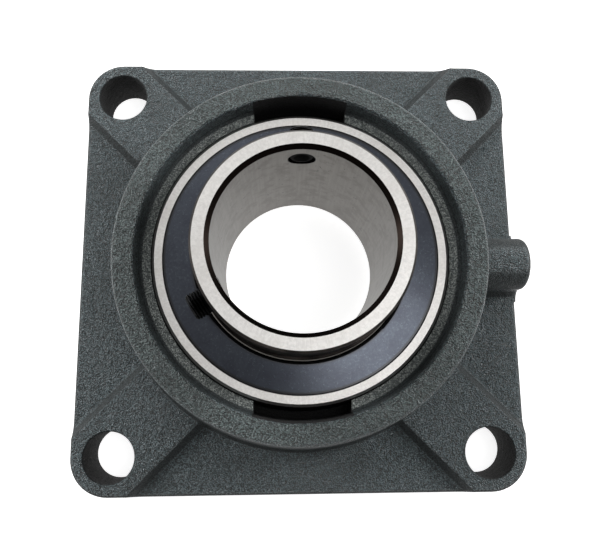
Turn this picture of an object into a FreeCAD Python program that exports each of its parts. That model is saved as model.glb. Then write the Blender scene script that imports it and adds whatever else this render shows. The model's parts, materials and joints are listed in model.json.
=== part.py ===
import FreeCAD, Part
import math
import os

import Sketcher

# A four-bolt square flange bearing unit for a 60 mm shaft: a drafted cast-iron housing with a
# spherical seat and two loading slots, and a wide-inner-ring ball bearing insert that swivels
# in the seat. Origin: centre of the flange's back face. +Z runs along the shaft axis, out of
# the hub, and +X runs out of the grease port. Lengths are millimetres, angles are degrees.

SIZES = (
    # flange of the casting
    ("bolt_spacing", 143.0),
    ("bolt_hole_radius", 9.5),
    ("corner_radius", 16.0),
    ("casting_draft", 5.0),
    ("plate_height", 17.0),
    ("arm_height", 20.0),
    ("arm_half_width", 14.7),
    ("arm_side_angle", 40.0),
    ("arm_foot_fillet", 3.5),
    ("arm_top_fillet", 1.5),
    ("flange_edge_fillet", 1.6),
    ("hole_edge_fillet", 0.6),
    # hub of the casting
    ("hub_height", 48.0),
    ("rim_outer_radius", 66.0),
    ("rim_inner_radius", 58.3),
    ("hub_draft", 7.0),
    ("hub_foot_fillet", 2.6),
    ("rim_outer_fillet", 1.2),
    ("rim_inner_fillet", 1.0),
    ("recess_draft", 6.0),
    ("recess_foot_fillet", 2.0),
    ("lip_height", 41.0),
    ("slot_width", 34.0),
    ("slot_wall_radius", 58.0),
    ("back_opening_radius", 54.0),
    ("back_opening_chamfer", 1.5),
    # grease boss, port and passage
    ("boss_radius", 10.0),
    ("boss_reach", 87.0),
    ("boss_height", 24.5),
    ("boss_end_fillet", 2.2),
    ("boss_foot_flare", 3.5),
    ("port_radius", 4.3),
    ("port_depth", 10.0),
    ("port_chamfer", 0.8),
    ("oil_way_radius", 2.5),
    ("drill_point_angle", 31.0),
    ("grease_groove_drop", 6.5),
    ("grease_groove_width", 8.0),
    ("grease_groove_depth", 1.2),
    # spherical seat and outer ring
    ("seat_height", 29.0),
    ("sphere_radius", 55.0),
    ("seat_clearance", 0.05),
    ("seat_back_half_width", 13.0),
    ("outer_ring_width", 27.0),
    ("outer_ring_face_radius", 52.2),
    ("outer_ring_edge_width", 1.0),
    ("outer_land_radius", 47.2),
    ("grease_hole_radius", 1.2),
    ("grease_hole_drop", 8.2),
    # seals in the outer ring
    ("seal_recess_radius", 49.3),
    ("seal_recess_depth", 3.7),
    ("shell_thickness", 0.8),
    ("shell_inner_radius", 40.5),
    ("shell_wall_height", 2.2),
    ("shell_bend_radius", 1.2),
    ("rubber_thickness", 0.7),
    ("rubber_outer_radius", 48.0),
    ("lip_edge_width", 0.5),
    ("lip_clearance", 0.08),
    # balls and cage
    ("ball_diameter", 15.875),
    ("ball_circle_radius", 42.5),
    ("ball_clearance", 0.05),
    ("race_radius", 8.255),
    ("cage_thickness", 1.2),
    ("cage_band_width", 7.2),
    ("cage_clearance", 0.15),
    ("rivet_radius", 1.4),
    ("rivet_head_radius", 2.3),
    ("rivet_head_height", 0.8),
    # inner ring and flingers
    ("bore_radius", 30.0),
    ("inner_ring_front", 39.7),
    ("inner_ring_back", 25.4),
    ("bore_chamfer", 1.5),
    ("collar_radius", 36.3),
    ("collar_chamfer", 0.8),
    ("land_radius", 37.6),
    ("land_half_width", 15.6),
    ("land_chamfer", 0.6),
    ("press_clearance", 0.02),
    ("flinger_thickness", 0.9),
    ("flinger_rim_radius", 48.9),
    ("flinger_rim_height", 13.7),
    ("flinger_slope", 7.0),
    ("flinger_bend_radius", 1.2),
    ("flinger_collar_foot", 12.3),
    # set screws
    ("screw_setback", 10.0),
    ("screw_radius", 4.64),
    ("screw_clearance", 0.06),
    ("screw_length", 10.0),
    ("screw_end_chamfer", 0.8),
    ("screw_cup_radius", 2.5),
    ("screw_cup_depth", 1.2),
    ("screw_hex_width", 5.0),
    ("screw_hex_depth", 5.0),
    ("top_screw_lift", 0.3),
    ("side_screw_lift", 1.5),
)

BALLS = 10
SCREW_ANGLES = {"set_screw_top": 90.0, "set_screw_side": 210.0}
# how far a cut runs past the material it opens
OVERRUN = 1.0
NEAR = 0.01
# the most of a wall's thickness that one fillet takes
FILLET_SHARE = 0.4


class Size:
    """A length or angle that is both a number and the sheet formula that gives it."""

    def __init__(self, number, formula):
        self.number = float(number)
        self.formula = formula

    def __float__(self):
        return self.number

    def __add__(self, other):
        other = size_of(other)
        return Size(self.number + other.number, f"({self.formula} + {other.formula})")

    def __radd__(self, other):
        return size_of(other) + self

    def __sub__(self, other):
        other = size_of(other)
        return Size(self.number - other.number, f"({self.formula} - {other.formula})")

    def __mul__(self, other):
        other = size_of(other)
        return Size(self.number * other.number, f"({self.formula} * {other.formula})")

    def __rmul__(self, other):
        return size_of(other) * self

    def __truediv__(self, other):
        other = size_of(other)
        return Size(self.number / other.number, f"({self.formula} / {other.formula})")

    def __neg__(self):
        return Size(-self.number, f"(-{self.formula})")


def size_of(value):
    return value if isinstance(value, Size) else Size(value, repr(float(value)))


def root(value):
    return Size(math.sqrt(value.number), f"sqrt({value.formula})")


def tan(angle):
    return Size(math.tan(math.radians(angle.number)), f"tan({angle.formula})")


def cos(angle):
    return Size(math.cos(math.radians(angle.number)), f"cos({angle.formula})")


def sin(angle):
    return Size(math.sin(math.radians(angle.number)), f"sin({angle.formula})")


def smaller(first, second):
    """The smaller of two lengths."""
    formula = f"min({first.formula}; {second.formula})"
    return Size(min(first.number, second.number), formula)


def half_chord(radius, distance):
    """Half the chord of a circle at this distance from its centre."""
    return root(radius * radius - distance * distance)


doc = FreeCAD.newDocument("flange_bearing")
sheet = doc.addObject("Spreadsheet::Sheet", "sizes")
for row, (alias, number) in enumerate(SIZES, start=1):
    sheet.set(f"A{row}", alias)
    sheet.set(f"B{row}", str(number))
    sheet.setAlias(f"B{row}", alias)
doc.recompute()


def dim(alias):
    """A driving size, read from the sheet."""
    return Size(sheet.get(alias), f"sizes.{alias}")


# Sketches and features


def new_body(label):
    body = doc.addObject("PartDesign::Body", label)
    body.Label = label
    return body


def origin_feature(body, role):
    return next(f for f in body.Origin.OriginFeatures if f.Role == role)


def new_sketch(body, name, plane, shift=(0, 0, 0)):
    """A sketch on one of the body's origin planes, shifted along its own x, y and normal."""
    sketch = body.newObject("Sketcher::SketchObject", name)
    sketch.AttachmentSupport = [(origin_feature(body, plane), "")]
    sketch.MapMode = "FlatFace"
    offset = FreeCAD.Vector(*(float(value) for value in shift))
    sketch.AttachmentOffset = FreeCAD.Placement(offset, FreeCAD.Rotation())
    for axis, value in zip("xyz", shift):
        if isinstance(value, Size):
            sketch.setExpression(f"AttachmentOffset.Base.{axis}", value.formula)
    sketch.Visibility = False
    return sketch


def constrain(sketch, *what):
    """Adds a sketch constraint, whose last entry is a Size, and binds it to the sheet."""
    kind, *geometry, value = what
    index = sketch.addConstraint(Sketcher.Constraint(kind, *geometry, float(value)))
    sketch.setExpression(f"Constraints[{index}]", value.formula)


def vector(point):
    return FreeCAD.Vector(float(point[0]), float(point[1]), 0)


def arc_edge(start, end, radius, turn):
    """The minor arc from start to end. It turns left when turn is +1 and right when it is -1."""
    chord = end - start
    left = FreeCAD.Vector(-chord.y, chord.x, 0).normalize()
    rise = math.sqrt(max(radius * radius - chord.Length**2 / 4, 0))
    centre = (start + end) / 2 + left * rise * turn
    first, last = (start, end) if turn > 0 else (end, start)
    angles = [math.atan2(p.y - centre.y, p.x - centre.x) for p in (first, last)]
    circle = Part.Circle(centre, FreeCAD.Vector(0, 0, 1), radius)
    return Part.ArcOfCircle(circle, angles[0], angles[1])


def draw_profile(sketch, corners):
    """A closed profile. A corner is (x, y), reached by a straight line from the one before, or
    (x, y, radius, turn), reached by an arc."""
    count = len(corners)
    ends = []
    for i in range(count):
        start, end = vector(corners[i]), vector(corners[(i + 1) % count])
        bend = corners[(i + 1) % count][2:]
        if bend:
            edge = sketch.addGeometry(arc_edge(start, end, float(bend[0]), bend[1]))
            constrain(sketch, "Radius", edge, size_of(bend[0]))
            ends.append((edge, 1, 2) if bend[1] > 0 else (edge, 2, 1))
        else:
            edge = sketch.addGeometry(Part.LineSegment(start, end))
            ends.append((edge, 1, 2))
    for i, corner in enumerate(corners):
        edge, first, _ = ends[i]
        before, _, last = ends[i - 1]
        sketch.addConstraint(Sketcher.Constraint("Coincident", before, last, edge, first))
        constrain(sketch, "DistanceX", -1, 1, edge, first, size_of(corner[0]))
        constrain(sketch, "DistanceY", -1, 1, edge, first, size_of(corner[1]))


def draw_circle(sketch, x, y, radius):
    circle = Part.Circle(vector((x, y)), FreeCAD.Vector(0, 0, 1), float(radius))
    edge = sketch.addGeometry(circle)
    constrain(sketch, "Radius", edge, radius)
    constrain(sketch, "DistanceX", -1, 1, edge, 3, size_of(x))
    constrain(sketch, "DistanceY", -1, 1, edge, 3, size_of(y))


def turned(body, kind, name, corners, axis="V_Axis", shift=(0, 0, 0)):
    """A Revolution or Groove of a profile on the XZ plane about one of its sketch's axes."""
    sketch = new_sketch(body, name + "_profile", "XZ_Plane", shift)
    draw_profile(sketch, corners)
    feature = body.newObject(f"PartDesign::{kind}", name)
    feature.Profile = sketch
    feature.ReferenceAxis = (sketch, [axis])
    feature.Angle = 360.0
    return feature


def extruded(body, kind, name, sketch, length, reverse=False, taper=None):
    """A Pad or Pocket of a sketch, by length."""
    feature = body.newObject(f"PartDesign::{kind}", name)
    feature.Profile = sketch
    feature.Type = "Length"
    feature.Length = float(length)
    feature.setExpression("Length", length.formula)
    feature.Reversed = reverse
    if taper is not None:
        feature.TaperAngle = float(taper)
        feature.setExpression("TaperAngle", taper.formula)
    return feature


def around_axis(body, name, feature, count, angle=360.0):
    """Repeats a feature about the body's Z axis."""
    pattern = body.newObject("PartDesign::PolarPattern", name)
    pattern.Originals = [feature]
    pattern.Axis = (origin_feature(body, "Z_Axis"), [""])
    pattern.Angle = angle
    pattern.Occurrences = count
    body.Tip = pattern
    return pattern


def rounded(body, name, radius, wanted):
    """A fillet on every edge of the body that wanted(edge) accepts."""
    doc.recompute()
    base = body.Tip
    edges = [f"Edge{i}" for i, e in enumerate(base.Shape.Edges, start=1) if wanted(e)]
    fillet = body.newObject("PartDesign::Fillet", name)
    fillet.Base = (base, edges)
    fillet.Radius = float(radius)
    fillet.setExpression("Radius", radius.formula)
    return fillet


# Which edges a fillet takes


def points_on(edge):
    first, last = edge.ParameterRange
    return [edge.valueAt(first + (last - first) * step / 4) for step in range(5)]


def ring_at(radius, height):
    """Accepts a full circle about the Z axis."""

    def accept(edge):
        curve = edge.Curve
        return (
            isinstance(curve, Part.Circle)
            and abs(curve.Radius - float(radius)) < NEAR
            and abs(curve.Center.z - float(height)) < NEAR
            and math.hypot(curve.Center.x, curve.Center.y) < NEAR
        )

    return accept


def diagonal_at(height):
    """Accepts a straight level edge that runs along a diagonal of the flange."""

    def accept(edge):
        if not isinstance(edge.Curve, Part.Line):
            return False
        way = edge.Curve.Direction
        level = all(abs(p.z - float(height)) < NEAR for p in points_on(edge))
        return level and abs(abs(way.x) - abs(way.y)) < NEAR

    return accept


def all_points(test):
    """Accepts an edge whose every sampled point passes the test."""

    def accept(edge):
        return all(test(point) for point in points_on(edge))

    return accept


# Housing: one iron casting, machined in the seat, the back face and the holes


def add_flange(body):
    """The drafted square flange, rounded about each bolt hole, with arms to the corners."""
    half_spacing = dim("bolt_spacing") / 2
    corner = dim("corner_radius")
    side = half_spacing + corner
    plate_height = dim("plate_height")
    arm_height = dim("arm_height")
    draft = dim("casting_draft")

    outline = new_sketch(body, "flange_outline", "XY_Plane")
    draw_profile(
        outline,
        [
            (half_spacing, -side),
            (side, -half_spacing, corner, 1),
            (side, half_spacing),
            (half_spacing, side, corner, 1),
            (-half_spacing, side),
            (-side, half_spacing, corner, 1),
            (-side, -half_spacing),
            (-half_spacing, -side, corner, 1),
        ],
    )
    extruded(body, "Pad", "flange", outline, arm_height, taper=-draft)

    # Each web between two arms lies lower than the arms.
    web_outline = new_sketch(body, "web_outline", "XY_Plane", (0, 0, arm_height))
    apex = dim("arm_half_width") * math.sqrt(2)
    reach = side + corner
    draw_profile(web_outline, [(apex, 0), (reach, apex - reach), (reach, reach - apex)])
    web_drop = arm_height - plate_height
    side_angle = -dim("arm_side_angle")
    web = extruded(body, "Pocket", "web", web_outline, web_drop, taper=side_angle)
    around_axis(body, "webs", web, 4)

    rounded(body, "arm_feet", dim("arm_foot_fillet"), diagonal_at(plate_height))
    rounded(body, "arm_tops", dim("arm_top_fillet"), diagonal_at(arm_height))

    def on_drafted_side(point):
        x = abs(point.x) - float(half_spacing)
        y = abs(point.y) - float(half_spacing)
        out = math.hypot(x, y) if x > 0 and y > 0 else max(x, y)
        return abs(out - float(corner) + point.z * float(tan(draft))) < NEAR

    def top_edge_of_side(edge):
        points = points_on(edge)
        high = points[2].z > float(plate_height) - NEAR
        high_ends = min(points[0].z, points[-1].z) > float(plate_height) / 2
        return high and high_ends and all(on_drafted_side(point) for point in points)

    rounded(body, "flange_edge", dim("flange_edge_fillet"), top_edge_of_side)


def add_grease_boss(body):
    """A round-topped bar with flared feet, from the hub out past the side of the flange."""
    radius = dim("boss_radius")
    axis_height = dim("boss_height")
    reach = dim("boss_reach")
    flare = dim("boss_foot_flare")
    plate_height = dim("plate_height")
    foot = radius + flare

    bar = new_body("grease_boss")
    outline = new_sketch(bar, "boss_outline", "YZ_Plane")
    draw_profile(
        outline,
        [
            (-foot, 0),
            (foot, 0),
            (foot, plate_height),
            (radius, plate_height + flare, flare, -1),
            (radius, axis_height),
            (0, axis_height + radius, radius, 1),
            (-radius, axis_height, radius, 1),
            (-radius, plate_height + flare),
            (-foot, plate_height, flare, -1),
        ],
    )
    extruded(bar, "Pad", "boss_bar", outline, reach)

    def end_above_plate(edge):
        points = points_on(edge)
        at_end = all(abs(point.x - float(reach)) < NEAR for point in points)
        return at_end and points[2].z > float(plate_height) + NEAR

    rounded(bar, "boss_end", dim("boss_end_fillet"), end_above_plate)
    join = body.newObject("PartDesign::Boolean", "boss_join")
    join.Type = "Fuse"
    join.addObjects([bar])
    body.Tip = join


def add_hub(body):
    """The drafted hub, blended into the webs, the arms and the grease boss."""
    height = dim("hub_height")
    rim = dim("rim_outer_radius")
    slope = tan(dim("hub_draft"))
    turned(body, "Revolution", "hub", [(0, 0), (rim + height * slope, 0), (rim, height), (0, height)])

    def on_hub_side(point):
        radius = float(rim) + (float(height) - point.z) * float(slope)
        between = OVERRUN < point.z < float(height) - OVERRUN
        return between and abs(math.hypot(point.x, point.y) - radius) < 2 * NEAR

    def meets_hub(edge):
        return not isinstance(edge.Curve, Part.Line) and all_points(on_hub_side)(edge)

    rounded(body, "hub_foot", dim("hub_foot_fillet"), meets_hub)


def cut_seat(body):
    """The back opening, the spherical seat, its retaining lip and the recess in front of it."""
    seat = dim("seat_height")
    seat_radius = dim("sphere_radius") + dim("seat_clearance")
    back_half = dim("seat_back_half_width")
    lip = dim("lip_height")
    rim_height = dim("hub_height")
    rim = dim("rim_inner_radius")
    wall_slope = tan(dim("recess_draft"))
    opening = dim("back_opening_radius")
    chamfer = dim("back_opening_chamfer")
    recess_foot = rim - (rim_height - lip) * wall_slope
    turned(
        body,
        "Groove",
        "seat_cavity",
        [
            (0, -OVERRUN),
            (opening + chamfer + OVERRUN, -OVERRUN),
            (opening, chamfer),
            (opening, seat - back_half),
            (half_chord(seat_radius, back_half), seat - back_half),
            (half_chord(seat_radius, lip - seat), lip, seat_radius, 1),
            (recess_foot, lip),
            (rim + wall_slope * OVERRUN, rim_height + OVERRUN),
            (0, rim_height + OVERRUN),
        ],
    )
    rounded(body, "recess_foot", dim("recess_foot_fillet"), ring_at(recess_foot, lip))
    # A thin rim keeps a flat on top, between its two fillets.
    outer = dim("rim_outer_radius")
    wall = outer - rim
    inner_fillet = smaller(dim("rim_inner_fillet"), wall * FILLET_SHARE)
    outer_fillet = smaller(dim("rim_outer_fillet"), wall * FILLET_SHARE)
    rounded(body, "rim_inner", inner_fillet, ring_at(rim, rim_height))
    rounded(body, "rim_outer", outer_fillet, ring_at(outer, rim_height))

    # Two slots through the lip, where the outer ring goes in edge-on. Each one runs up the wall
    # of the recess, so no ledge is left behind the ring.
    slot = new_sketch(body, "slot_outline", "XY_Plane", (0, 0, seat))
    half_width = dim("slot_width") / 2
    wall = dim("slot_wall_radius")
    shoulder = half_chord(wall, half_width)
    inside = half_chord(dim("sphere_radius"), lip - seat) - half_width
    draw_profile(
        slot,
        [
            (half_width, inside),
            (half_width, shoulder),
            (-half_width, shoulder, wall, 1),
            (-half_width, inside),
        ],
    )
    slot_rise = rim_height - seat + OVERRUN
    first = extruded(body, "Pocket", "loading_slot", slot, slot_rise, reverse=True)
    around_axis(body, "loading_slots", first, 2)


def cut_grease_way(body):
    """The tapped grease port in the boss, its drilled passage and the groove round the seat."""
    seat_radius = dim("sphere_radius") + dim("seat_clearance")
    groove_centre = dim("seat_height") - dim("grease_groove_drop")
    half_width = dim("grease_groove_width") / 2
    floor = seat_radius + dim("grease_groove_depth")
    within = half_chord(seat_radius, dim("seat_back_half_width"))
    turned(
        body,
        "Groove",
        "grease_groove",
        [
            (within, groove_centre - half_width),
            (floor, groove_centre - half_width),
            (floor, groove_centre + half_width),
            (within, groove_centre + half_width),
        ],
    )
    end = dim("boss_reach")
    port = dim("port_radius")
    oil_way = dim("oil_way_radius")
    chamfer = dim("port_chamfer")
    drill_end = end - dim("port_depth")
    point_length = (port - oil_way) * tan(dim("drill_point_angle"))
    turned(
        body,
        "Groove",
        "grease_port",
        [
            (dim("sphere_radius"), 0),
            (end + OVERRUN, 0),
            (end + OVERRUN, port + chamfer + OVERRUN),
            (end - chamfer, port),
            (drill_end, port),
            (drill_end - point_length, oil_way),
            (dim("sphere_radius"), oil_way),
        ],
        axis="H_Axis",
        shift=(0, dim("boss_height"), 0),
    )


def drill_bolt_holes(body):
    half_spacing = dim("bolt_spacing") / 2
    radius = dim("bolt_hole_radius")
    top = dim("arm_height")
    hole = new_sketch(body, "bolt_hole_outline", "XY_Plane")
    draw_circle(hole, half_spacing, half_spacing, radius)
    first = extruded(body, "Pocket", "bolt_hole", hole, top + OVERRUN, reverse=True)
    around_axis(body, "bolt_holes", first, 4)

    def on_hole_mouth(point):
        x = abs(point.x) - float(half_spacing)
        y = abs(point.y) - float(half_spacing)
        return abs(math.hypot(x, y) - float(radius)) < NEAR and abs(point.z - float(top)) < NEAR

    rounded(body, "hole_edges", dim("hole_edge_fillet"), all_points(on_hole_mouth))


def make_housing():
    body = new_body("housing")
    add_flange(body)
    add_grease_boss(body)
    add_hub(body)
    cut_seat(body)
    drill_bolt_holes(body)
    cut_grease_way(body)
    return body


# Insert. A section is given by radius and by distance from the centre of the seat, and side is
# +1 for the front of the bearing and -1 for its mirror image at the back.


def section(corners, side=1):
    """The corners of a section, with distances from the seat's centre turned into heights."""
    return [
        (corner[0], dim("seat_height") + corner[1] * side)
        + ((corner[2], corner[3] * side) if len(corner) > 2 else ())
        for corner in corners
    ]


def turned_piece(label, corners, side=1):
    body = new_body(label)
    turned(body, "Revolution", label + "_form", section(corners, side))
    return body


def radial_hole(body, name, radius, height, reach):
    """A hole from the shaft axis outwards along +Y."""
    outline = new_sketch(body, name + "_outline", "XZ_Plane")
    draw_circle(outline, 0, height, radius)
    return extruded(body, "Pocket", name, outline, reach)


def make_outer_ring():
    sphere = dim("sphere_radius")
    face = dim("outer_ring_width") / 2
    edge = face - dim("outer_ring_edge_width")
    edge_radius = half_chord(sphere, edge)
    face_radius = dim("outer_ring_face_radius")
    land = dim("outer_land_radius")
    recess = dim("seal_recess_radius")
    recess_floor = face - dim("seal_recess_depth")
    race = dim("race_radius")
    race_floor = dim("ball_circle_radius") + dim("ball_diameter") / 2 + dim("ball_clearance")
    race_half_width = half_chord(race, race_floor - race - land)
    body = turned_piece(
        "outer_ring",
        [
            (recess, face),
            (recess, recess_floor),
            (land, recess_floor),
            (land, race_half_width),
            (land, -race_half_width, race, -1),
            (land, -recess_floor),
            (recess, -recess_floor),
            (recess, -face),
            (face_radius, -face),
            (edge_radius, -edge),
            (edge_radius, edge, sphere, 1),
            (face_radius, face),
        ],
    )
    height = dim("seat_height") - dim("grease_hole_drop")
    hole = radial_hole(body, "grease_hole", dim("grease_hole_radius"), height, sphere + OVERRUN)
    around_axis(body, "grease_holes", hole, 2)
    return body


def make_seal_shell(label, side):
    """A pressed steel ring, L-shaped in section, that stands in the outer ring's recess."""
    foot = dim("outer_ring_width") / 2 - dim("seal_recess_depth")
    thickness = dim("shell_thickness")
    bend = dim("shell_bend_radius")
    wall = dim("seal_recess_radius") - dim("press_clearance")
    top = foot + dim("shell_wall_height")
    inner = dim("shell_inner_radius")
    return turned_piece(
        label,
        [
            (inner, foot),
            (wall - bend, foot),
            (wall, foot + bend, bend, 1),
            (wall, top),
            (wall - thickness, top),
            (wall - thickness, foot + bend),
            (wall - bend, foot + thickness, bend - thickness, -1),
            (inner, foot + thickness),
        ],
        side,
    )


def make_seal_lip(label, side):
    """The rubber bonded over the shell, which ends in a lip close to the inner ring."""
    foot = dim("outer_ring_width") / 2 - dim("seal_recess_depth")
    shell_top = foot + dim("shell_thickness")
    top = shell_top + dim("rubber_thickness")
    inner = dim("shell_inner_radius")
    outer = dim("rubber_outer_radius")
    thickness = dim("rubber_thickness")
    lip = dim("land_radius") + dim("lip_clearance")
    return turned_piece(
        label,
        [
            (lip, top - dim("lip_edge_width")),
            (inner - thickness, foot),
            (inner, foot),
            (inner, shell_top),
            (outer, shell_top),
            (outer - thickness, top),
            (lip, top),
        ],
        side,
    )


def make_inner_ring():
    bore = dim("bore_radius")
    chamfer = dim("bore_chamfer")
    collar = dim("collar_radius")
    collar_chamfer = dim("collar_chamfer")
    land = dim("land_radius")
    land_end = dim("land_half_width")
    land_chamfer = dim("land_chamfer")
    front = dim("inner_ring_front")
    back = -dim("inner_ring_back")
    race = dim("race_radius")
    race_floor = dim("ball_circle_radius") - dim("ball_diameter") / 2 - dim("ball_clearance")
    race_half_width = half_chord(race, race_floor + race - land)
    body = turned_piece(
        "inner_ring",
        [
            (bore + chamfer, back),
            (collar - collar_chamfer, back),
            (collar, back + collar_chamfer),
            (collar, -land_end),
            (land - land_chamfer, -land_end),
            (land, -land_end + land_chamfer),
            (land, -race_half_width),
            (land, race_half_width, race, -1),
            (land, land_end - land_chamfer),
            (land - land_chamfer, land_end),
            (collar, land_end),
            (collar, front - collar_chamfer),
            (collar - collar_chamfer, front),
            (bore + chamfer, front),
            (bore, front - chamfer),
            (bore, back + chamfer),
        ],
    )
    height = dim("seat_height") + front - dim("screw_setback")
    radius = dim("screw_radius") + dim("screw_clearance")
    hole = radial_hole(body, "screw_hole", radius, height, collar + OVERRUN)
    first, last = SCREW_ANGLES.values()
    around_axis(body, "screw_holes", hole, len(SCREW_ANGLES), last - first)
    return body


def make_flinger(label, side):
    """A pressed disc that turns with the inner ring and covers the seal."""
    thickness = dim("flinger_thickness")
    bend = dim("flinger_bend_radius")
    slope = dim("flinger_slope")
    rim = dim("flinger_rim_radius")
    rim_top = dim("flinger_rim_height")
    collar = dim("land_radius") + dim("press_clearance")
    foot = dim("flinger_collar_foot")
    bend_radius = collar + bend
    bend_height = rim_top + (rim - bend_radius) * tan(slope) - bend / cos(slope)
    inner_bend = bend - thickness
    return turned_piece(
        label,
        [
            (collar, foot),
            (collar + thickness, foot),
            (collar + thickness, bend_height),
            (
                bend_radius + inner_bend * sin(slope),
                bend_height + inner_bend * cos(slope),
                inner_bend,
                -1,
            ),
            (rim, rim_top - thickness / cos(slope)),
            (rim, rim_top),
            (bend_radius + bend * sin(slope), bend_height + bend * cos(slope)),
            (collar, bend_height, bend, 1),
        ],
        side,
    )


# Balls and cage


def dome(body, kind, name, radius, side):
    """A half ball over the first ball of the circle, repeated over all of them."""
    corners = [(0, 0), (radius, 0), (0, radius * side, radius, side)]
    place = (dim("ball_circle_radius"), dim("seat_height"), 0)
    first = turned(body, kind, name, corners, shift=place)
    around_axis(body, name + "s", first, BALLS)


def make_cage_half(label, side):
    """One pressed ribbon: flats that meet the other half, and a dome over each ball."""
    pitch = dim("ball_circle_radius")
    band = dim("cage_band_width") / 2
    thickness = dim("cage_thickness")
    pocket = dim("ball_diameter") / 2 + dim("cage_clearance")
    cover = pocket + thickness
    body = turned_piece(
        label,
        [
            (pitch - band, 0),
            (pitch + band, 0),
            (pitch + band, thickness),
            (pitch - band, thickness),
        ],
        side,
    )
    dome(body, "Revolution", "dome", cover, side)
    low, high = -OVERRUN, cover + OVERRUN
    for name, near, far in (
        ("inside_trim", pitch - cover - OVERRUN, pitch - band),
        ("outside_trim", pitch + band, pitch + cover + OVERRUN),
    ):
        corners = [(near, low), (far, low), (far, high), (near, high)]
        turned(body, "Groove", name, section(corners, side))
    dome(body, "Groove", "pocket", pocket, side)

    step = 180.0 / BALLS
    hole = new_sketch(body, "rivet_hole_outline", "XY_Plane", (0, 0, dim("seat_height")))
    radius = dim("rivet_radius") + dim("press_clearance")
    turn = size_of(step)
    draw_circle(hole, pitch * cos(turn), pitch * sin(turn), radius)
    first = extruded(body, "Pocket", "rivet_hole", hole, thickness, reverse=side > 0)
    around_axis(body, "rivet_holes", first, BALLS)
    return body


def make_cage_rivets():
    """Ten rivets through the flats, midway between the balls, in one node."""
    pitch = dim("ball_circle_radius")
    grip = dim("cage_thickness")
    shank = dim("rivet_radius")
    head = dim("rivet_head_radius")
    rise = dim("rivet_head_height")
    crown = (head * head + rise * rise) / (rise * 2)
    body = new_body("cage_rivets")
    first = turned(
        body,
        "Revolution",
        "rivet",
        [
            (0, -grip - rise),
            (head, -grip, crown, 1),
            (shank, -grip),
            (shank, grip),
            (head, grip),
            (0, grip + rise, crown, 1),
        ],
        shift=(pitch, dim("seat_height"), 0),
    )
    around_axis(body, "rivets", first, BALLS)
    body.Placement = FreeCAD.Placement(
        FreeCAD.Vector(), FreeCAD.Rotation(FreeCAD.Vector(0, 0, 1), 180.0 / BALLS)
    )
    return body


def make_ball(index):
    label = f"ball_{index + 1:02d}"
    angle = size_of(index * 360.0 / BALLS)
    ball = doc.addObject("Part::Sphere", label)
    ball.Label = label
    ball.setExpression("Radius", (dim("ball_diameter") / 2).formula)
    ball.setExpression("Placement.Base.x", (dim("ball_circle_radius") * cos(angle)).formula)
    ball.setExpression("Placement.Base.y", (dim("ball_circle_radius") * sin(angle)).formula)
    ball.setExpression("Placement.Base.z", dim("seat_height").formula)
    return ball


# Set screws


def make_set_screw(label, lift):
    """A cup-point set screw, made along Z from its point and laid along its hole."""
    radius = dim("screw_radius")
    length = dim("screw_length")
    end_chamfer = dim("screw_end_chamfer")
    cup = dim("screw_cup_radius")
    body = new_body(label)
    turned(
        body,
        "Revolution",
        label + "_form",
        [
            (0, dim("screw_cup_depth")),
            (cup, 0),
            (radius, radius - cup),
            (radius, length - end_chamfer),
            (radius - end_chamfer, length),
            (0, length),
        ],
    )
    across_corners = dim("screw_hex_width") / cos(size_of(30.0))
    hexagon = new_sketch(body, "hex_outline", "XY_Plane", (0, 0, length))
    corners = [size_of(60.0 * turn) for turn in range(6)]
    corner_radius = across_corners / 2
    draw_profile(hexagon, [(corner_radius * cos(a), corner_radius * sin(a)) for a in corners])
    extruded(body, "Pocket", "hex_socket", hexagon, dim("screw_hex_depth"))

    angle = size_of(SCREW_ANGLES[label])
    distance = dim("bore_radius") + lift
    height = dim("seat_height") + dim("inner_ring_front") - dim("screw_setback")
    outward = FreeCAD.Vector(float(cos(angle)), float(sin(angle)), 0)
    body.Placement = FreeCAD.Placement(
        FreeCAD.Vector(), FreeCAD.Rotation(FreeCAD.Vector(0, 0, 1), outward)
    )
    body.setExpression("Placement.Base.x", (distance * cos(angle)).formula)
    body.setExpression("Placement.Base.y", (distance * sin(angle)).formula)
    body.setExpression("Placement.Base.z", height.formula)
    return body


pieces = [
    make_housing(),
    make_outer_ring(),
    make_seal_shell("seal_shell_front", 1),
    make_seal_shell("seal_shell_back", -1),
    make_seal_lip("seal_lip_front", 1),
    make_seal_lip("seal_lip_back", -1),
    make_inner_ring(),
    make_flinger("flinger_front", 1),
    make_flinger("flinger_back", -1),
    make_cage_half("cage_front", 1),
    make_cage_half("cage_back", -1),
    make_cage_rivets(),
    *(make_ball(index) for index in range(BALLS)),
    make_set_screw("set_screw_top", dim("top_screw_lift")),
    make_set_screw("set_screw_side", dim("side_screw_lift")),
]
doc.recompute()

for item in doc.Objects:
    if "Invalid" in item.State or "Error" in item.State:
        raise RuntimeError(f"{item.Name} did not compute")
for piece in pieces:
    if piece.Shape.isNull() or not piece.Shape.isValid():
        raise RuntimeError(f"{piece.Label} has no valid shape")

os.makedirs("parts", exist_ok=True)
for piece in pieces:
    piece.Shape.exportStep(f"parts/{piece.Label}.step")
    print(f"{piece.Label}: {len(piece.Shape.Solids)} solids, {piece.Shape.Volume:.1f} mm3")
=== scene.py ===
import json
import math

import bmesh
import bpy
from mathutils import Matrix, Vector


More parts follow.
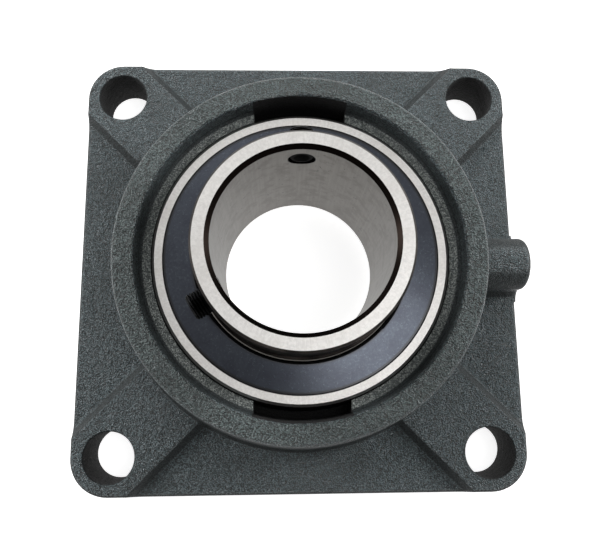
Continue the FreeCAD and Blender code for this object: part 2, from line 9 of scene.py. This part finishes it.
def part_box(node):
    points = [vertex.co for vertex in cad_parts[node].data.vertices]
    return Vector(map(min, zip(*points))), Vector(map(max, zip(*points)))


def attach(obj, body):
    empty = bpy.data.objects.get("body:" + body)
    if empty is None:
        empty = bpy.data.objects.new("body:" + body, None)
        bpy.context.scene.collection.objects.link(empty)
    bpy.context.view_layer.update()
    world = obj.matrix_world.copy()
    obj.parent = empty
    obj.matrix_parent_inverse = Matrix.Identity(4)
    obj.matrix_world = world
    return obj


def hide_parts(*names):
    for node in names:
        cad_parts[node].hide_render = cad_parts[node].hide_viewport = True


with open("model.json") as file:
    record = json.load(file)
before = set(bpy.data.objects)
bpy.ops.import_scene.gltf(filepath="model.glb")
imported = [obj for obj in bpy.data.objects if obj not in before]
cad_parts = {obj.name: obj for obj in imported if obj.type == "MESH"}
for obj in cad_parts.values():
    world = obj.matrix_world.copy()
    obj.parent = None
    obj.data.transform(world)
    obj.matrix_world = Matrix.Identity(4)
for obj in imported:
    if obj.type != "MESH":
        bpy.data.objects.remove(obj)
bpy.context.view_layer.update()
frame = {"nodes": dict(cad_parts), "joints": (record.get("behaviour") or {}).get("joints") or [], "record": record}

# A square flange bearing unit: materials for the CAD nodes, two threaded set screws, and the
# floor, light and camera. Lengths are metres. The seat is the spherical bore of the hub, the lip
# is the flat ring in front of it, and the land is the inner ring's widest part.

# Sizes that the frame gives.
MILLIMETRE = 0.001
joints = {row["name"]: row for row in frame["joints"]}
mounts = {row["name"]: row["dims"] for row in frame["record"]["mounts"]}

SEAT_HEIGHT = joints["self_align"]["pos_m"][2]
SEAT_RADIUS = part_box("outer_ring")[1].x
RIM_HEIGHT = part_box("housing")[1].z
BOLT = mounts["flange_bolts"]["spacing_x_mm"] / 2 * MILLIMETRE
BOLT_HOLE = mounts["flange_bolts"]["hole_r_mm"] * MILLIMETRE
BORE = mounts["shaft_bore"]["r_mm"] * MILLIMETRE
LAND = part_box("inner_ring")[1].x
FLINGER_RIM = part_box("flinger_front")[1].x
SCREW_LOW, SCREW_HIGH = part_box("set_screw_top")
SCREW_LENGTH = SCREW_HIGH.y - SCREW_LOW.y
SCREW_HEIGHT = (SCREW_LOW.z + SCREW_HIGH.z) / 2
SCREW_AXES = {
    node: Vector(joints[joint]["axis"])
    for node, joint in (("set_screw_top", "top_screw_travel"), ("set_screw_side", "side_screw_travel"))
}

# Sizes of the same model that no box, joint or mount gives.
SEAT_CLEARANCE = 0.00005
LIP_HEIGHT = 0.041
RIM_EDGE = 0.0658
SLOT_WALL = 0.058
SLOT_HALF = 0.017
COLLAR_EDGE = 0.0355
LAND_END = SEAT_HEIGHT + 0.0156
BORE_CHAMFER = 0.0015
SEAL_RECESS = 0.0493
RING_FACE = 0.0522
SCREW_HOLE = 0.0047

# How far a mark reaches past the surface that it is on, and the way over which it fades.
PAST = 0.0001
FADE = 0.0002
# All walls of the slots lie further than this from the middle of the bore.
SLOT_START = 0.040


def srgb(red, green, blue):
    """A display colour from 0 to 255 as the linear colour that a shader takes."""

    def linear(value):
        value /= 255
        return value / 12.92 if value <= 0.04045 else ((value + 0.055) / 1.055) ** 2.4

    return (linear(red), linear(green), linear(blue), 1.0)


# Shader nodes.


class Graph:
    """The nodes of a material or of the world. A mask is 1 where it holds and 0 elsewhere.

    A Mix node takes numbers at its inputs 2 and 3, and colours at 6 and 7."""

    def __init__(self, owner):
        owner.use_nodes = True
        self.nodes = owner.node_tree.nodes
        self.links = owner.node_tree.links

    def feed(self, socket, value):
        """Gives an input either a link or a fixed value."""
        if isinstance(value, bpy.types.NodeSocket):
            self.links.new(value, socket)
        else:
            socket.default_value = value

    def math(self, operation, first, second=0.0):
        node = self.nodes.new("ShaderNodeMath")
        node.operation = operation
        self.feed(node.inputs[0], first)
        self.feed(node.inputs[1], second)
        return node.outputs[0]

    def both(self, first, second):
        return self.math("MULTIPLY", first, second)

    def either(self, first, second):
        return self.math("MAXIMUM", first, second)

    def absolute(self, value):
        return self.math("ABSOLUTE", value)

    def length(self, first, second):
        return self.math("SQRT", self.math("ADD", self.both(first, first), self.both(second, second)))

    def off(self, value, centre):
        """How far a value is from a centre."""
        return self.absolute(self.math("SUBTRACT", value, centre))

    def step(self, value, start, end):
        """0 at start and 1 at end, with a smooth change between them. Either may be the larger."""
        low, high = (0.0, 1.0) if start < end else (1.0, 0.0)
        node = self.nodes.new("ShaderNodeMapRange")
        node.interpolation_type = "SMOOTHSTEP"
        self.feed(node.inputs["Value"], value)
        self.feed(node.inputs["From Min"], min(start, end))
        self.feed(node.inputs["From Max"], max(start, end))
        self.feed(node.inputs["To Min"], low)
        self.feed(node.inputs["To Max"], high)
        return node.outputs[0]

    def above(self, value, level, fade):
        """A mask that starts at a level and is full after a fade above it."""
        return self.step(value, level, level + fade)

    def below(self, value, level, fade):
        """A mask that is full up to a level and is gone after a fade above it."""
        return self.step(value, level + fade, level)

    def within(self, value, centre, reach, fade):
        """A mask that is full up to a reach on both sides of a centre."""
        return self.below(self.off(value, centre), reach, fade)

    def blend(self, factor, first, second):
        """A number between two others."""
        node = self.nodes.new("ShaderNodeMix")
        self.feed(node.inputs[0], factor)
        self.feed(node.inputs[2], first)
        self.feed(node.inputs[3], second)
        return node.outputs[0]

    def toward(self, place, direction):
        """How far a place lies in one direction."""
        node = self.nodes.new("ShaderNodeVectorMath")
        node.operation = "DOT_PRODUCT"
        self.feed(node.inputs[0], place)
        self.feed(node.inputs[1], direction)
        return node.outputs["Value"]

    def axes(self, vector):
        node = self.nodes.new("ShaderNodeSeparateXYZ")
        self.feed(node.inputs[0], vector)
        return node.outputs

    def seen(self):
        """A mask of the rays from the camera, straight, by a reflection or through glass."""
        path = self.nodes.new("ShaderNodeLightPath").outputs
        seen = self.either(path["Is Camera Ray"], path["Is Glossy Ray"])
        return self.either(seen, path["Is Transmission Ray"])


class Surface(Graph):
    """One material, built node by node on its Principled surface."""

    def __init__(self, name, metallic=0.0):
        self.material = bpy.data.materials.new(name)
        super().__init__(self.material)
        self.set("Metallic", metallic)
        self.place = self.nodes.new("ShaderNodeTexCoord").outputs["Object"]
        self.x, self.y, self.z = self.axes(self.place)
        self.radius = self.length(self.x, self.y)

    def set(self, name, value):
        self.feed(self.nodes["Principled BSDF"].inputs[name], value)

    def up(self):
        """How far the true surface faces up, from -1 to 1, on the node's own axes."""
        return self.axes(self.nodes.new("ShaderNodeTexCoord").outputs["Normal"])[2]

    def noise(self, scale, detail=2.0, roughness=0.5, place=None):
        node = self.nodes.new("ShaderNodeTexNoise")
        self.feed(node.inputs["Vector"], place or self.place)
        self.feed(node.inputs["Scale"], scale)
        self.feed(node.inputs["Detail"], detail)
        self.feed(node.inputs["Roughness"], roughness)
        return node.outputs["Fac"]

    def marks(self, turns, rings, rise=0.0, detail=2.0, roughness=0.5):
        """Noise by angle, distance from the axis and height, for marks left by turning."""
        node = self.nodes.new("ShaderNodeCombineXYZ")
        self.feed(node.inputs[0], self.both(self.math("ARCTAN2", self.y, self.x), turns))
        self.feed(node.inputs[1], self.both(self.radius, rings))
        self.feed(node.inputs[2], self.both(self.z, rise))
        return self.noise(1.0, detail, roughness, node.outputs[0])

    def mix(self, factor, first, second, mode="MIX"):
        node = self.nodes.new("ShaderNodeMix")
        node.data_type = "RGBA"
        node.blend_type = mode
        self.feed(node.inputs[0], factor)
        self.feed(node.inputs[6], first)
        self.feed(node.inputs[7], second)
        return node.outputs[2]

    def tint(self, colour, mask, share, other):
        """A colour taken part of the way to another one, where a mask holds."""
        return self.mix(self.both(mask, share), colour, other)

    def bump(self, height, distance, strength=1.0, under=None):
        node = self.nodes.new("ShaderNodeBump")
        self.feed(node.inputs["Height"], height)
        self.feed(node.inputs["Strength"], strength)
        self.feed(node.inputs["Distance"], distance)
        if under is not None:
            self.feed(node.inputs["Normal"], under)
        return node.outputs[0]


# The casting.


def bolt_hole_walls(g, up):
    from_axis = g.length(g.off(g.absolute(g.x), BOLT), g.off(g.absolute(g.y), BOLT))
    upright = g.step(up, 0.6, 0.3)
    return g.both(g.below(from_axis, BOLT_HOLE + PAST, FADE), upright)


def slot_walls(g, up):
    """The inside of the two loading slots, where shade is painted near-black, but not the flat lip beside them."""
    across = g.below(g.absolute(g.x), SLOT_HALF + PAST, FADE)
    past_start = g.above(g.absolute(g.y), SLOT_START, fade=0.001)
    up_to_wall = g.below(g.radius, SLOT_WALL + 4 * PAST, FADE)
    in_front = g.above(g.z, SEAT_HEIGHT - 0.003, fade=0.001)
    upright = g.step(up, 0.85, 0.6)
    off_lip = g.either(upright, g.below(g.z, LIP_HEIGHT - 0.0015, fade=0.001))
    return g.both(g.both(across, g.both(past_start, up_to_wall)), g.both(in_front, off_lip))


def machined_faces(g, slot_shade):
    """The spherical seat, apart from the slots, and the flat back."""
    from_centre = g.length(g.radius, g.math("SUBTRACT", g.z, SEAT_HEIGHT))
    sphere = g.within(from_centre, SEAT_RADIUS + SEAT_CLEARANCE, 2 * PAST, FADE)
    under_lip = g.below(g.z, LIP_HEIGHT - 3 * PAST, fade=0.00025)
    seat = g.both(g.both(sphere, under_lip), g.math("SUBTRACT", 1.0, slot_shade))
    back = g.below(g.z, PAST / 2, fade=0.00015)
    return g.either(seat, back)


def rim_edge_highlight(g, coarse):
    """A painted highlight on the outer edge of the rim, in patches, where it catches the light."""
    line = g.within(g.radius, RIM_EDGE, PAST, fade=0.00015)
    at_top = g.above(g.z, RIM_HEIGHT - 0.0012, fade=0.0006)
    patches = g.step(coarse, 0.35, 0.6)
    return g.both(g.both(line, at_top), patches)


def slopes(g, up):
    """The slopes and fillets under the rim, where the paint is smooth and its shade is painted dark."""
    not_flat = g.step(up, 0.97, 0.80)
    not_upright = g.step(up, 0.09, 0.12)
    under_rim = g.below(g.z, RIM_HEIGHT - 0.0014, fade=0.0008)
    return g.both(g.both(not_flat, not_upright), under_rim)


def paint_colour(g, up, grain, edge, slope_shade):
    """The enamel: browner on the rim, paler and speckled on the lip as painted light and painted glints, with a
    painted highlight on the rim's edge and painted shade on the slopes.
    """
    flat = g.step(up, 0.8, 0.95)
    rim = g.both(g.above(g.z, RIM_HEIGHT - 0.0012, fade=0.0008), flat)
    lip = g.both(g.within(g.z, LIP_HEIGHT, 4 * PAST, fade=0.0005), flat)
    specks = g.both(lip, g.step(grain, 0.46, 0.62))
    drift = g.step(g.noise(38), 0.4, 0.75)

    # The grain is the enamel's own grain; its dark and pale ends are partly painted shade in its pits and painted
    # glints on its bumps.
    colour = g.mix(g.step(grain, 0.36, 0.66), srgb(14, 20, 21), srgb(95, 107, 110))
    colour = g.tint(colour, drift, 0.35, srgb(38, 44, 44))
    colour = g.tint(colour, rim, 0.35, g.mix(1.0, colour, srgb(255, 255, 232), "MULTIPLY"))
    # A painted highlight along the rim's edge.
    colour = g.tint(colour, edge, 0.16, srgb(132, 137, 130))
    # Painted light on the lip, and pale specks on it as painted glints.
    colour = g.tint(colour, lip, 0.4, srgb(104, 109, 106))
    colour = g.tint(colour, specks, 0.6, srgb(158, 161, 156))
    # Painted shade on the slopes and in the fillets.
    return g.tint(colour, slope_shade, 0.78, srgb(8, 14, 14))


def casting_paint():
    """Green-grey enamel on a sand casting, with bare machined metal on the seat and the back."""
    g = Surface("casting_paint")
    up = g.up()
    grain = g.noise(2135, detail=1.0)
    coarse = g.noise(480)
    tool_marks = g.marks(0.5, 2600, 2600)
    hole = bolt_hole_walls(g, up)
    slot_shade = slot_walls(g, up)
    bare = machined_faces(g, slot_shade)
    edge = rim_edge_highlight(g, coarse)
    slope_shade = slopes(g, up)
    smooth = g.either(slope_shade, g.either(edge, slot_shade))

    colour = paint_colour(g, up, grain, edge, slope_shade)
    # Painted shade: the walls of the bolt holes are near-black.
    colour = g.mix(hole, colour, srgb(8, 8, 8))
    # Painted shade inside the slots.
    colour = g.mix(slot_shade, colour, srgb(9, 9, 10))
    metal = g.mix(tool_marks, srgb(120, 119, 115), srgb(165, 163, 158))
    g.set("Base Color", g.mix(bare, colour, metal))
    g.set("Metallic", bare)

    finish = g.blend(g.step(grain, 0.3, 0.7), 0.34, 0.18)
    finish = g.blend(smooth, finish, 0.68)
    finish = g.blend(g.either(hole, slot_shade), finish, 0.85)
    g.set("Roughness", g.blend(bare, finish, 0.36))

    skin = g.math("ADD", g.both(grain, 0.75), g.both(g.step(coarse, 0.3, 0.7), 0.25))
    skin_depth = g.blend(g.either(bare, g.both(smooth, 0.45)), 0.0013, 0.00001)
    mark_depth = g.blend(bare, 0.000001, 0.00004)
    g.set("Normal", g.bump(tool_marks, mark_depth, 0.5, under=g.bump(skin, skin_depth)))
    return g.material


# The bearing.


def ground(g, up, cloud):
    """Hardened and ground ring steel: its colour, its roughness and the height of its marks."""
    flat = g.step(g.absolute(up), 0.75, 0.95)
    streaks = g.marks(190, 110, detail=3.0, roughness=0.6)
    rings = g.marks(1.5, 1500, 1500)
    mottle = g.noise(1100, roughness=0.6)
    colour = g.mix(g.step(streaks, 0.25, 0.75), srgb(199, 197, 194), srgb(214, 212, 209))
    colour = g.tint(colour, g.step(mottle, 0.35, 0.7), 0.6, srgb(227, 225, 222))
    colour = g.tint(colour, g.step(cloud, 0.45, 0.75), 0.35, srgb(192, 188, 183))
    finish = g.blend(flat, 0.28, g.blend(g.step(streaks, 0.2, 0.8), 0.42, 0.52))
    return colour, finish, g.blend(flat, g.both(rings, 0.4), streaks)


def finish_ring(g, colour, finish, height):
    g.set("Base Color", colour)
    g.set("Roughness", finish)
    g.set("Normal", g.bump(height, 0.00002, 0.5))
    return g.material


def outer_ring_steel():
    """Ground steel, with painted shade where it meets the seal and on its outer edge."""
    g = Surface("outer_ring_steel", metallic=1.0)
    colour, finish, height = ground(g, g.up(), g.noise(90, detail=3.0, roughness=0.55))
    gap_shade = g.below(g.radius, SEAL_RECESS + 0.00004, fade=0.00008)
    edge = g.above(g.radius, RING_FACE + 0.0007, fade=0.0004)
    # Painted shade in the gap beside the seal and on the ring's outer edge.
    dark = g.either(gap_shade, edge)
    return finish_ring(g, g.mix(dark, colour, srgb(22, 21, 21)), g.blend(dark, finish, 0.5), height)


def bore_colour(g, pits):
    """The bore: scored along its length, blotched, pitted, and with painted shade towards the back."""
    scores = g.marks(34, 0, 30, detail=3.0, roughness=0.6)
    blotch = g.noise(210, detail=4.0, roughness=0.65)
    colour = g.mix(g.step(scores, 0.3, 0.7), srgb(92, 89, 84), srgb(104, 101, 96))
    colour = g.tint(colour, g.step(blotch, 0.45, 0.62), 0.7, srgb(76, 71, 65))
    colour = g.mix(g.step(pits, 0.68, 0.72), colour, srgb(44, 38, 34))
    # Painted shade deeper in the bore.
    shade_towards_back = g.below(g.z, 0.002, fade=0.018)
    return g.tint(colour, shade_towards_back, 0.6, srgb(74, 69, 64))


def tapped_holes(g):
    """The two holes of the set screws, each on its own side of the collar."""
    holes = []
    level = g.math("SUBTRACT", g.z, SCREW_HEIGHT)
    for axis in SCREW_AXES.values():
        from_axis = g.length(g.toward(g.place, (-axis.y, axis.x, 0)), level)
        this_side = g.above(g.toward(g.place, axis), 0.0, fade=0.001)
        holes.append(g.both(g.below(from_axis, SCREW_HOLE + PAST, PAST), this_side))
    return g.either(*holes)


def inner_ring_steel():
    """Ground steel with a bored hole, painted shade on its outside, and a painted highlight on its shoulder."""
    g = Surface("inner_ring_steel", metallic=1.0)
    up = g.up()
    cloud = g.noise(90, detail=3.0, roughness=0.55)
    pits = g.noise(700)
    colour, finish, height = ground(g, up, cloud)

    upright = g.step(up, 0.5, 0.3)
    bore = g.both(g.within(g.radius, BORE, PAST, FADE), upright)
    colour = g.mix(bore, colour, bore_colour(g, pits))

    front_half = g.above(g.z, SEAT_HEIGHT, fade=0.001)
    outside = g.both(g.above(g.radius, COLLAR_EDGE - PAST, FADE), front_half)
    # The outside of the collar is painted dark as its shade.
    outside_shade = g.mix(g.step(cloud, 0.35, 0.7), srgb(24, 22, 21), srgb(54, 50, 47))
    colour = g.mix(outside, colour, outside_shade)

    facing_up = g.step(up, 0.4, 0.6)
    at_land_end = g.above(g.z, LAND_END - 0.0026, fade=0.001)
    shoulder = g.both(g.within(g.radius, LAND - 2 * PAST, PAST, PAST), g.both(facing_up, at_land_end))
    # A painted highlight on the land's shoulder.
    colour = g.mix(shoulder, colour, srgb(170, 166, 160))

    chamfer = g.both(g.step(up, 0.5, 0.6), g.step(up, 0.92, 0.85))
    mouth = g.both(chamfer, g.below(g.radius, BORE + BORE_CHAMFER + 3 * PAST, fade=0.0004))
    colour = g.mix(mouth, colour, srgb(18, 14, 12))
    colour = g.mix(tapped_holes(g), colour, srgb(20, 18, 17))

    finish = g.blend(outside, g.blend(bore, finish, 0.38), 0.45)
    pit_depth = g.both(g.step(pits, 0.66, 0.78), bore)
    return finish_ring(g, colour, finish, g.math("SUBTRACT", height, pit_depth))


def flinger_steel():
    """Dark blued sheet with a fine matt grain, darkest at its rim and at its root, where shade is painted."""
    g = Surface("flinger_steel", metallic=1.0)
    brush = g.marks(2.0, 2200, 300, detail=3.0, roughness=0.6)
    specks = g.noise(1300, roughness=0.6)
    cloud = g.noise(150, detail=3.0, roughness=0.6)
    # Painted shade at the rim and at the root, by the gaps to the outer ring and the collar.
    rim = g.above(g.radius, FLINGER_RIM - 0.0009, fade=0.0004)
    root = g.below(g.radius, LAND + 0.0008, fade=0.0014)

    colour = g.mix(brush, srgb(36, 42, 56), srgb(50, 56, 68))
    colour = g.tint(colour, g.step(specks, 0.42, 0.7), 0.6, srgb(68, 76, 84))
    colour = g.tint(colour, g.step(cloud, 0.42, 0.7), 0.5, srgb(26, 30, 46))
    g.set("Base Color", g.tint(colour, g.either(rim, root), 0.85, srgb(16, 16, 19)))
    g.set("Roughness", g.blend(specks, 0.22, 0.30))
    g.set("Coat Weight", 1.0)
    g.set("Coat Roughness", 0.24)
    g.set("Normal", g.bump(specks, 0.00004, 0.5))
    return g.material


def pressed_steel(name, dark, light):
    g = Surface(name, metallic=1.0)
    wear = g.noise(320, detail=3.0, roughness=0.6)
    g.set("Base Color", g.mix(wear, dark, light))
    g.set("Roughness", g.blend(wear, 0.28, 0.46))
    g.set("Normal", g.bump(wear, 0.00003, 0.5))
    return g.material


def seal_rubber():
    g = Surface("seal_rubber")
    grain = g.noise(900, roughness=0.6)
    g.set("Base Color", g.mix(grain, srgb(20, 20, 21), srgb(38, 38, 40)))
    g.set("Roughness", g.blend(grain, 0.5, 0.68))
    g.set("Normal", g.bump(grain, 0.00004, 0.6))
    return g.material


def ball_steel():
    g = Surface("ball_steel", metallic=1.0)
    film = g.noise(180)
    g.set("Base Color", g.mix(film, srgb(206, 205, 202), srgb(224, 223, 220)))
    g.set("Roughness", g.blend(film, 0.08, 0.16))
    return g.material


def dress(names, material):
    """Gives CAD nodes a material."""
    for name in names:
        mesh = frame["nodes"][name].data
        mesh.materials.clear()
        mesh.materials.append(material)


dress(["housing"], casting_paint())
dress(["outer_ring"], outer_ring_steel())
dress(["inner_ring"], inner_ring_steel())
dress(["flinger_front", "flinger_back"], flinger_steel())
dress(["cage_front", "cage_back", "cage_rivets"],
      pressed_steel("cage_steel", srgb(128, 126, 122), srgb(178, 176, 171)))
# The seal shells are dark phosphate, made darker still as painted shade in the gap in front of them.
dress(["seal_shell_front", "seal_shell_back"],
      pressed_steel("shell_steel", srgb(16, 16, 17), srgb(38, 38, 39)))
dress(["seal_lip_front", "seal_lip_back"], seal_rubber())
dress([name for name in frame["nodes"] if name.startswith("ball_")], ball_steel())


# Set screws: M10 x 1, with a cup point, a chamfered end and a hexagon socket. Heights along a
# screw start at its point.

THREAD_PITCH = 0.001
THREAD_CREST = 0.00461
THREAD_ROOT = 0.00415
CREST_CUT = 1.25
END_TAPER = 0.0004
POINT_RADIUS = 0.0030
CUP_RADIUS = 0.0019
CUP_RADIUS_DEPTH = 0.0013
CUP_DEPTH = 0.0019
SOCKET_FLAT = 0.0025
SOCKET_CHAMFER = 0.0002
SOCKET_DEPTH = 0.005
SOCKET_CONE = 0.0008
DARK_POINT_HEIGHT = 0.0022
STEPS_ROUND = 72
STEPS_PER_TURN = 8


def black_steel():
    """Black oxide on the set screws, worn in places, and near-black and matt over each point."""
    g = Surface("black_steel")
    wear = g.noise(1400, detail=3.0, roughness=0.6)
    dark_point = g.below(g.z, DARK_POINT_HEIGHT - SCREW_LENGTH / 2, fade=0.0006)
    colour = g.mix(g.step(wear, 0.5, 0.8), srgb(7, 7, 8), srgb(26, 25, 24))
    g.set("Base Color", g.mix(dark_point, colour, srgb(4, 4, 4)))
    g.set("Metallic", g.step(dark_point, 1.0, 0.0))
    g.set("Roughness", g.blend(dark_point, g.blend(wear, 0.32, 0.5), 0.9))
    g.set("Normal", g.bump(wear, 0.00003, 0.5))
    return g.material


def thread_radius(along, turn):
    """The radius of the thread at a place along the screw, with a taper at both ends."""
    phase = (along / THREAD_PITCH - turn) % 1.0
    tooth = 1.0 - abs(2.0 * phase - 1.0)
    radius = THREAD_ROOT + (THREAD_CREST - THREAD_ROOT) * min(1.0, CREST_CUT * tooth)
    from_end = min(along, SCREW_LENGTH - along)
    return min(radius, THREAD_ROOT - END_TAPER + from_end)


def hexagon_radius(turn):
    """The distance from the socket's centre to its wall in one direction."""
    angle = (turn * 2 * math.pi) % (math.pi / 3) - math.pi / 6
    return SOCKET_FLAT / math.cos(angle)


def screw_rings():
    """Each ring's height and its radius at any turn, from the cup, over the thread, to the socket."""
    rings = [(CUP_RADIUS_DEPTH, lambda turn: CUP_RADIUS), (0.0, lambda turn: POINT_RADIUS)]
    rows = round(SCREW_LENGTH / THREAD_PITCH) * STEPS_PER_TURN
    for row in range(rows + 1):
        along = SCREW_LENGTH * row / rows
        rings.append((along, lambda turn, along=along: thread_radius(along, turn)))
    rings.append((SCREW_LENGTH, lambda turn: hexagon_radius(turn) + SOCKET_CHAMFER))
    rings.append((SCREW_LENGTH - SOCKET_CHAMFER, hexagon_radius))
    rings.append((SCREW_LENGTH - SOCKET_DEPTH, hexagon_radius))
    return rings


def screw_mesh(name):
    """A set screw round its own Z, with its point down and its middle at the origin."""
    mesh = bmesh.new()

    def point(height, radius=0.0, turn=0.0):
        angle = 2 * math.pi * turn
        return mesh.verts.new((
            radius * math.cos(angle),
            radius * math.sin(angle),
            height - SCREW_LENGTH / 2,
        ))

    def close(loop, height):
        """Closes the hole inside a ring with a cone."""
        tip = point(height)
        for step in range(STEPS_ROUND):
            mesh.faces.new((loop[step], loop[(step + 1) % STEPS_ROUND], tip))

    turns = [step / STEPS_ROUND for step in range(STEPS_ROUND)]
    loops = [
        [point(height, radius_at(turn), turn) for turn in turns]
        for height, radius_at in screw_rings()
    ]
    for low, high in zip(loops, loops[1:]):
        for step in range(STEPS_ROUND):
            after = (step + 1) % STEPS_ROUND
            mesh.faces.new((low[step], low[after], high[after], high[step]))
    close(loops[0], CUP_DEPTH)
    close(loops[-1], SCREW_LENGTH - SOCKET_DEPTH - SOCKET_CONE)
    bmesh.ops.recalc_face_normals(mesh, faces=mesh.faces)
    data = bpy.data.meshes.new(name)
    mesh.to_mesh(data)
    mesh.free()
    return data


def set_screw(name, centre, outward, material):
    """A set screw whose socket faces outward."""
    data = screw_mesh(name)
    data.materials.append(material)
    screw = bpy.data.objects.new(name, data)
    bpy.context.scene.collection.objects.link(screw)
    facing = outward.to_track_quat("Z", "Y").to_matrix().to_4x4()
    screw.matrix_world = Matrix.Translation(centre) @ facing
    return screw


screw_finish = black_steel()
for node, outward in SCREW_AXES.items():
    low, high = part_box(node)
    # The screw lies on the axis of its hole, as far out as the screw it stands for.
    centre = outward * ((low + high) / 2).dot(outward) + Vector((0, 0, SCREW_HEIGHT))
    piece = set_screw(node.replace("set_screw", "threaded_screw"), centre, outward, screw_finish)
    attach(piece, node)
    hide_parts(node)


# Floor, light and camera. The floor lies just under the flange's back, so the two don't coincide.

FLOOR_REACH = 3.0
FLOOR_HEIGHT = -0.0001
FLOOR_COLOUR = (0.9, 0.9, 0.9, 1.0)
FLOOR_GLOW = 0.82

# Places in the sky are unit vectors, so a height there runs from -1, below, to 1, overhead.
CEILING_CENTRE = (0.0, 0.42, 0.908)
CEILING_START = 0.6
CEILING_DIM = 0.04
CEILING_BRIGHT = 0.70
WALL_HEIGHT = 0.30
WALL_FADE = 0.12

# The lens and the sensor are in millimetres, and the shift in shares of the sensor's width.
CAMERA_PLACE = Vector((-0.0072, -0.0464, 0.2553))
CAMERA_RIGHT = Vector((0.9995, -0.0103, 0.0294))
CAMERA_AHEAD = Vector((0.0308, 0.1709, -0.9848))
CAMERA_LENS = 36.56
CAMERA_SENSOR = 36.0
CAMERA_SHIFT = (0.0002, 0.0084)
CAMERA_NEAR = 0.01


def floor_white():
    """Matt white that adds a glow for the eye alone, so that it looks white and keeps the shadow."""
    material = bpy.data.materials.new("floor_white")
    g = Graph(material)
    g.nodes.clear()
    matt = g.nodes.new("ShaderNodeBsdfDiffuse")
    matt.inputs["Color"].default_value = FLOOR_COLOUR
    glow = g.nodes.new("ShaderNodeEmission")
    g.feed(glow.inputs["Strength"], g.both(g.seen(), FLOOR_GLOW))
    together = g.nodes.new("ShaderNodeAddShader")
    g.feed(together.inputs[0], matt.outputs[0])
    g.feed(together.inputs[1], glow.outputs[0])
    g.feed(g.nodes.new("ShaderNodeOutputMaterial").inputs["Surface"], together.outputs[0])
    return material


def add_floor():
    corners = [
        (x * FLOOR_REACH, y * FLOOR_REACH, FLOOR_HEIGHT)
        for x, y in ((-1, -1), (1, -1), (1, 1), (-1, 1))
    ]
    mesh = bpy.data.meshes.new("floor")
    mesh.from_pydata(corners, [], [(0, 1, 2, 3)])
    mesh.materials.append(floor_white())
    floor = bpy.data.objects.new("floor", mesh)
    bpy.context.scene.collection.objects.link(floor)


def add_sky():
    """A soft white ceiling, brightest overhead and a little to the back, and dim at the walls.

    Low down, the eye and reflections meet white walls, as they meet the white floor."""
    world = bpy.data.worlds.new("studio")
    bpy.context.scene.world = world
    g = Graph(world)
    sky = g.nodes["Background"]
    sky.inputs["Color"].default_value = (1, 1, 1, 1)
    direction = g.nodes.new("ShaderNodeTexCoord").outputs["Generated"]
    facing = g.toward(direction, CEILING_CENTRE)
    ceiling = g.blend(g.step(facing, CEILING_START, 1.0), CEILING_DIM, CEILING_BRIGHT)
    walls = g.below(g.axes(direction)[2], WALL_HEIGHT, WALL_FADE)
    g.feed(sky.inputs["Strength"], g.either(ceiling, g.both(walls, g.seen())))


def add_lamp(name, shape, size, watts, toward, distance):
    """A soft lamp in one direction from the object, facing it."""
    data = bpy.data.lights.new(name, "AREA")
    data.shape = shape
    data.size = size
    data.energy = watts
    lamp = bpy.data.objects.new(name, data)
    toward = Vector(toward).normalized()
    lamp.location = toward * distance
    lamp.rotation_euler = toward.to_track_quat("Z", "Y").to_euler()
    bpy.context.scene.collection.objects.link(lamp)


def add_camera():
    data = bpy.data.cameras.new("camera")
    data.sensor_width = CAMERA_SENSOR
    data.lens = CAMERA_LENS
    data.shift_x, data.shift_y = CAMERA_SHIFT
    data.clip_start = CAMERA_NEAR
    camera = bpy.data.objects.new("camera", data)
    bpy.context.scene.collection.objects.link(camera)
    back = -CAMERA_AHEAD.normalized()
    above = back.cross(CAMERA_RIGHT).normalized()
    facing = Matrix((above.cross(back), above, back)).transposed().to_4x4()
    camera.matrix_world = Matrix.Translation(CAMERA_PLACE) @ facing
    bpy.context.scene.camera = camera


add_floor()
add_sky()
add_lamp("window", "SQUARE", size=0.6, watts=5.9, toward=(-0.45, 0.88, 0.56), distance=1.1)
add_lamp("left", "DISK", size=0.35, watts=5.2, toward=(-0.92, 0.24, 0.42), distance=1.0)
add_lamp("right", "DISK", size=0.35, watts=7.0, toward=(0.91, 0.32, 0.42), distance=1.0)
add_lamp("key", "DISK", size=0.56, watts=2.3, toward=(0.28, -0.10, 0.95), distance=1.1)
add_camera()
bpy.context.scene.view_settings.view_transform = "Standard"
